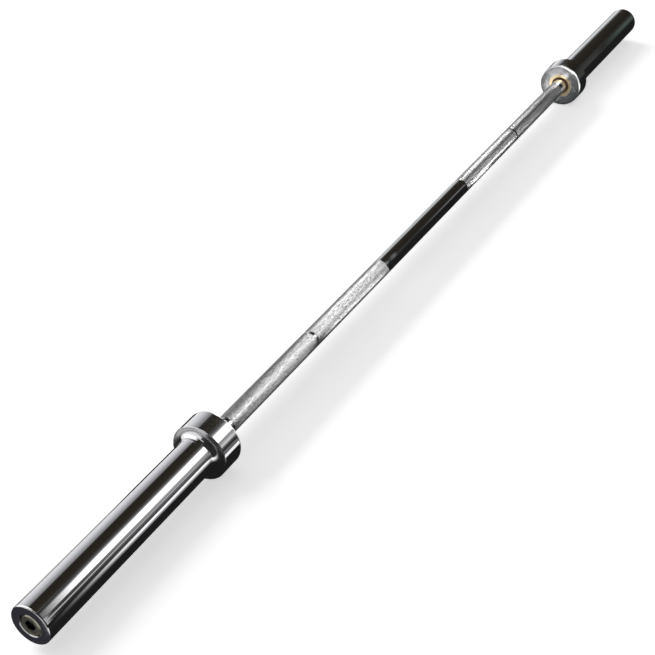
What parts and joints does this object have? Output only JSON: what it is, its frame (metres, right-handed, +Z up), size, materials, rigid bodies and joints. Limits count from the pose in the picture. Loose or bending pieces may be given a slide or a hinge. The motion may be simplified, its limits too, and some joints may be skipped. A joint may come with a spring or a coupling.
{
  "type": "olympic barbell",
  "caption": "Long knurled steel lifting bar with a revolving plate sleeve and a wide collar flange at each end.",
  "frame": {"origin": "middle of the bar, on its axis", "axes": "+X along the bar to the right sleeve's end, +Z up; the bar lies on its collar flanges, 37 mm below the axis"},
  "size_m": [1.829, 0.074, 0.074],
  "materials": {
    "polished_chrome": "polished chrome plate",
    "shaft_chrome": "chrome plate, satin where knurled",
    "bronze": "turned bearing bronze",
    "seal_rubber": "brown fluorocarbon rubber",
    "washer_steel": "bare steel",
    "bolt_steel": "olive zinc plate"
  },
  "bodies": {
    "shaft": {"shaft": "shaft_chrome", "left_inner_thrust_washer": "bronze", "left_outer_thrust_washer": "bronze", "left_retaining_washer": "washer_steel", "left_lock_washer": "washer_steel", "left_end_bolt": "bolt_steel", "right_inner_thrust_washer": "bronze", "right_outer_thrust_washer": "bronze", "right_retaining_washer": "washer_steel", "right_lock_washer": "washer_steel", "right_end_bolt": "bolt_steel"},
    "left_sleeve": {"left_sleeve": "polished_chrome", "left_inner_bushing": "bronze", "left_dust_seal": "seal_rubber", "left_outer_bushing": "bronze"},
    "right_sleeve": {"right_sleeve": "polished_chrome", "right_inner_bushing": "bronze", "right_dust_seal": "seal_rubber", "right_outer_bushing": "bronze"}
  },
  "joints": [
    {"name": "left_sleeve_spin", "type": "hinge", "parent": "shaft", "child": "left_sleeve", "pos_m": [-0.742, 0, 0], "axis": [1, 0, 0], "continuous": true},
    {"name": "right_sleeve_spin", "type": "hinge", "parent": "shaft", "child": "right_sleeve", "pos_m": [0.742, 0, 0], "axis": [1, 0, 0], "continuous": true}
  ]
}
